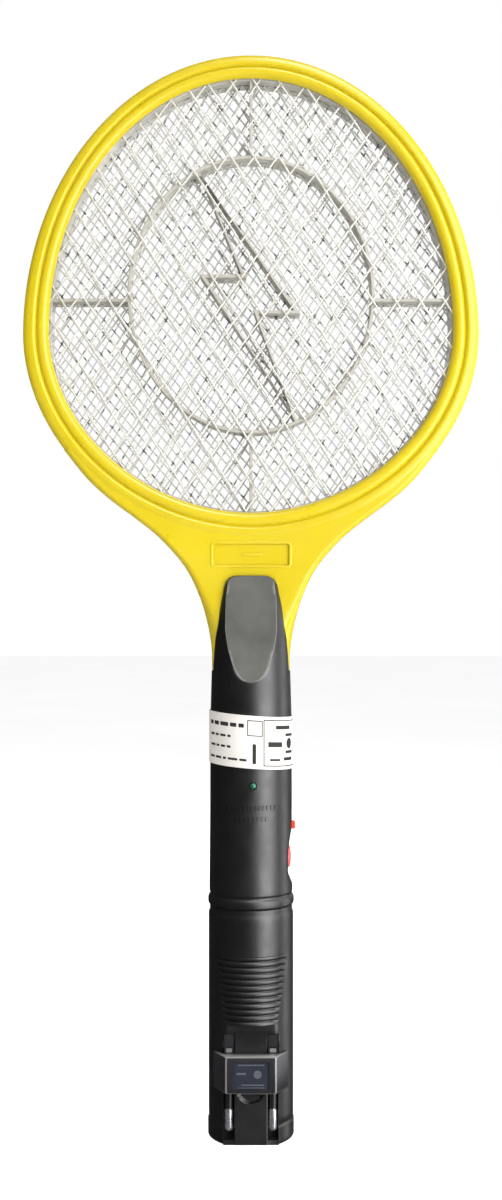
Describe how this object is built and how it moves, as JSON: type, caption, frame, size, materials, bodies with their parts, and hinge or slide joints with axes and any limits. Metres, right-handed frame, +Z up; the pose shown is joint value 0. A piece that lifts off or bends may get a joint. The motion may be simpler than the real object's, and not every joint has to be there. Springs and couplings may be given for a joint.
{
  "type": "electric fly swatter",
  "caption": "Battery fly swatter shaped like a racket: oval meshed head, round handle with side zap button, and a mains plug that slides out of the handle's end.",
  "frame": {"origin": "on the handle's axis, in the flat end face that the racket can stand on", "axes": "+Z up the racket from the handle's end to the head; -Y is the front face with the plug, lamp and thumb rest; +X is the side with the two red controls"},
  "size_m": [0.1986, 0.0399, 0.4718],
  "materials": {
    "yellow_plastic": "satin",
    "black_plastic": "satin",
    "grey_plastic": "satin",
    "mesh_wire": "satin",
    "red_plastic": "gloss",
    "label_paper": "satin",
    "led_green": "gloss",
    "circuit_board": "satin",
    "component_black": "matte",
    "transformer_copper": "satin",
    "capacitor_film": "gloss",
    "battery_sleeve": "satin",
    "lead_insulation": "satin",
    "screw_steel": "satin",
    "plated_pin": "polished",
    "contact_brass": "satin"
  },
  "bodies": {
    "racket": {"head_frame_front": "yellow_plastic", "head_frame_rear": "yellow_plastic", "front_mesh": "mesh_wire", "centre_mesh": "mesh_wire", "rear_mesh": "mesh_wire", "front_spacer": "grey_plastic", "rear_spacer": "grey_plastic", "handle_front_shell": "black_plastic", "handle_rear_shell": "black_plastic", "wrap_label": "label_paper", "lower_front_shell": "black_plastic", "lower_rear_shell": "black_plastic", "end_cap": "black_plastic", "contact_spring_left": "contact_brass", "contact_spring_right": "contact_brass", "button_spring": "screw_steel", "zap_switch": "component_black", "power_switch": "screw_steel", "power_led": "led_green", "main_board": "circuit_board", "step_up_transformer": "transformer_copper", "hv_capacitor": "capacitor_film", "switching_transistor": "component_black", "charger_board": "circuit_board", "dropper_capacitor": "capacitor_film", "battery": "battery_sleeve", "outer_mesh_lead": "lead_insulation", "centre_mesh_lead": "lead_insulation", "battery_lead": "lead_insulation", "rim_screw_1": "screw_steel", "rim_screw_2": "screw_steel", "rim_screw_3": "screw_steel", "rim_screw_4": "screw_steel", "rim_screw_5": "screw_steel", "rim_screw_6": "screw_steel", "handle_screw_1": "screw_steel", "handle_screw_2": "screw_steel", "handle_screw_3": "screw_steel", "handle_screw_4": "screw_steel", "neck_screw_1": "screw_steel", "neck_screw_2": "screw_steel", "lower_screw_1": "screw_steel", "lower_screw_2": "screw_steel"},
    "button": {"zap_button": "red_plastic"},
    "power_knob": {"power_switch_knob": "red_plastic"},
    "sliding_plug": {"plug_carriage": "black_plastic", "plug_pin_left": "plated_pin", "plug_pin_right": "plated_pin", "pin_sleeve_left": "component_black", "pin_sleeve_right": "component_black", "pin_contact_left": "plated_pin", "pin_contact_right": "plated_pin"}
  },
  "joints": [
    {"name": "zap_button_press", "type": "slide", "parent": "racket", "child": "button", "axis": [-1, 0, 0], "range_m": [0, 0.0015], "stiffness_N_per_m": 800, "springref_m": -0.0004, "deforming": ["button_spring"]},
    {"name": "power_switch_slide", "type": "slide", "parent": "racket", "child": "power_knob", "axis": [0, 0, 1], "range_m": [0, 0.004]},
    {"name": "plug_slide", "type": "slide", "parent": "racket", "child": "sliding_plug", "axis": [0, 0, -1], "range_m": [0, 0.022]}
  ]
}
